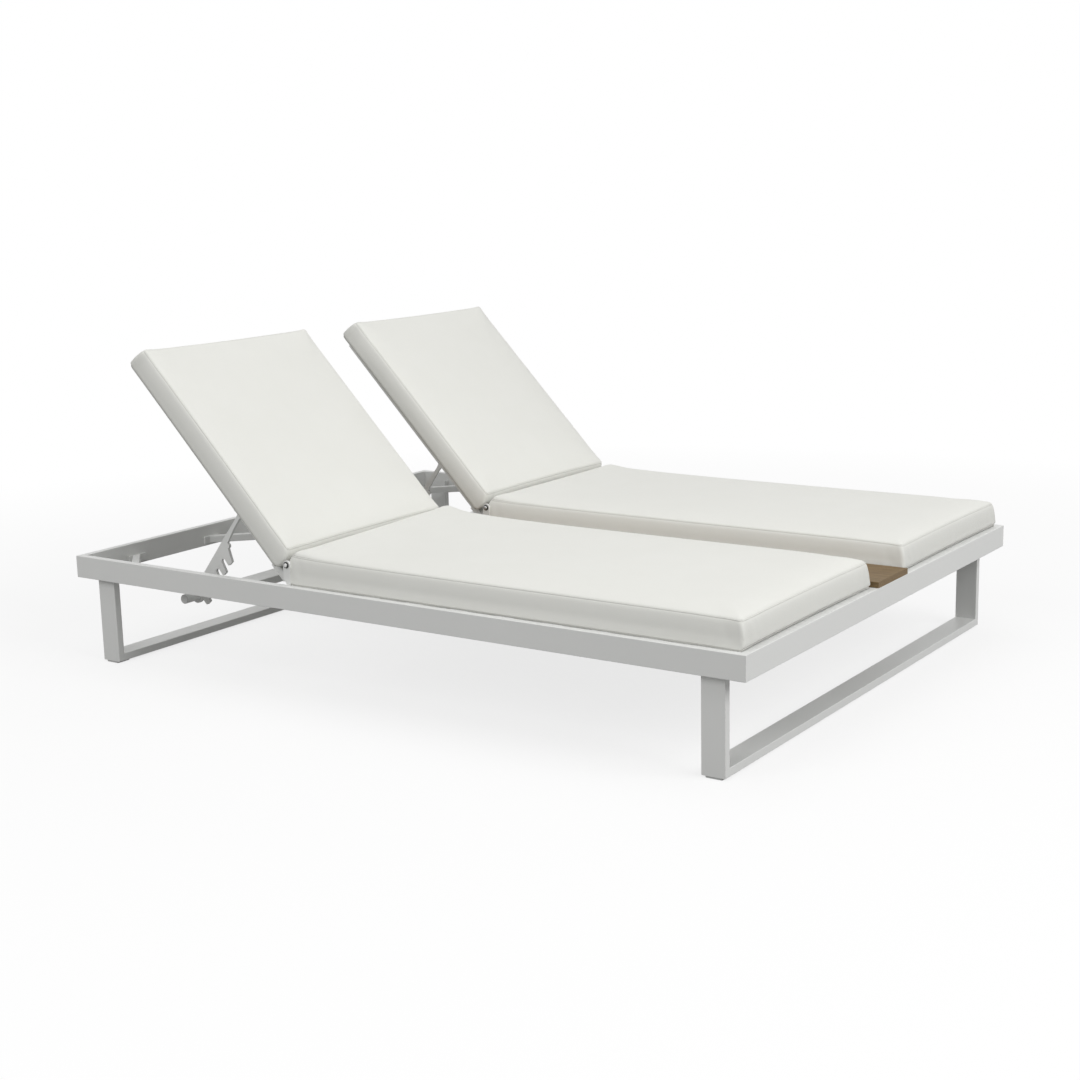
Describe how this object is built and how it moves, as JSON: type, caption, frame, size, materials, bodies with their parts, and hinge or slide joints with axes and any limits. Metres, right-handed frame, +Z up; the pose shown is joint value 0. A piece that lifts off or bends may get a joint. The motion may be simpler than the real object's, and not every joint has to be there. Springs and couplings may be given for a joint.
{
  "type": "double chaise lounger",
  "caption": "Double chaise lounger: low welded frame on sled legs, two cushioned beds either side of a wooden board, each with a back that tilts on notched comb supports.",
  "frame": {"origin": "on the floor, under the middle of the frame", "axes": "+X from the head end to the foot end, +Y from the near lounger to the far one, +Z up"},
  "size_m": [2.05, 1.55, 0.8679],
  "materials": {
    "frame_paint": "satin white powder coat",
    "cushion_fabric": "smooth off-white outdoor cloth",
    "board_wood": "matt brown wood",
    "fastener_steel": "brushed stainless",
    "grey_plastic": "matt",
    "black_plastic": "matt"
  },
  "bodies": {
    "frame": {"centre_board": "board_wood", "far_crossbar": "frame_paint", "far_foot_glide": "grey_plastic", "far_foot_post": "frame_paint", "far_head_glide": "grey_plastic", "far_head_post": "frame_paint", "far_inner_corner_brace": "frame_paint", "far_inner_hinge_ear": "frame_paint", "far_inner_rail": "frame_paint", "far_inner_stub_pin": "fastener_steel", "far_outer_corner_brace": "frame_paint", "far_outer_hinge_ear": "frame_paint", "far_outer_stub_pin": "fastener_steel", "far_seat_cushion": "cushion_fabric", "far_seat_slats": "frame_paint", "far_side_rail": "frame_paint", "foot_rail": "frame_paint", "foot_runner": "frame_paint", "head_rail": "frame_paint", "head_runner": "frame_paint", "near_crossbar": "frame_paint", "near_foot_glide": "grey_plastic", "near_foot_post": "frame_paint", "near_head_glide": "grey_plastic", "near_head_post": "frame_paint", "near_inner_corner_brace": "frame_paint", "near_inner_hinge_ear": "frame_paint", "near_inner_rail": "frame_paint", "near_inner_stub_pin": "fastener_steel", "near_outer_corner_brace": "frame_paint", "near_outer_hinge_ear": "frame_paint", "near_outer_stub_pin": "fastener_steel", "near_seat_cushion": "cushion_fabric", "near_seat_slats": "frame_paint", "near_side_rail": "frame_paint"},
    "near_back": {"near_back_cushion": "cushion_fabric", "near_back_foot_tube": "frame_paint", "near_back_head_tube": "frame_paint", "near_back_slats": "frame_paint", "near_hinge_bolts": "fastener_steel", "near_hinge_washers": "black_plastic", "near_inner_back_side_tube": "frame_paint", "near_outer_back_side_tube": "frame_paint"},
    "far_back": {"far_back_cushion": "cushion_fabric", "far_back_foot_tube": "frame_paint", "far_back_head_tube": "frame_paint", "far_back_slats": "frame_paint", "far_hinge_bolts": "fastener_steel", "far_hinge_washers": "black_plastic", "far_inner_back_side_tube": "frame_paint", "far_outer_back_side_tube": "frame_paint"},
    "near_comb": {"near_comb_tube": "frame_paint", "near_comb_tube_caps": "grey_plastic", "near_inner_comb": "frame_paint", "near_outer_comb": "frame_paint"},
    "far_comb": {"far_comb_tube": "frame_paint", "far_comb_tube_caps": "grey_plastic", "far_inner_comb": "frame_paint", "far_outer_comb": "frame_paint"}
  },
  "joints": [
    {"name": "near_back_hinge", "type": "hinge", "parent": "frame", "child": "near_back", "pos_m": [-0.2737, -0.4275, 0.3454], "axis": [0, 1, 0], "range_deg": [-46, 9]},
    {"name": "near_comb_pivot", "type": "hinge", "parent": "near_back", "child": "near_comb", "pos_m": [-0.46704, -0.4275, 0.46356], "axis": [0, 1, 0], "range_deg": [-18.57, 93.68]},
    {"name": "far_back_hinge", "type": "hinge", "parent": "frame", "child": "far_back", "pos_m": [-0.2737, 0.4275, 0.3454], "axis": [0, 1, 0], "range_deg": [-46, 9]},
    {"name": "far_comb_pivot", "type": "hinge", "parent": "far_back", "child": "far_comb", "pos_m": [-0.46704, 0.4275, 0.46356], "axis": [0, 1, 0], "range_deg": [-18.57, 93.68]}
  ],
  "couplings": [
    {"joint": "near_comb_pivot", "follows": "near_back_hinge", "ratio": -2.03},
    {"joint": "far_comb_pivot", "follows": "far_back_hinge", "ratio": -2.03}
  ]
}
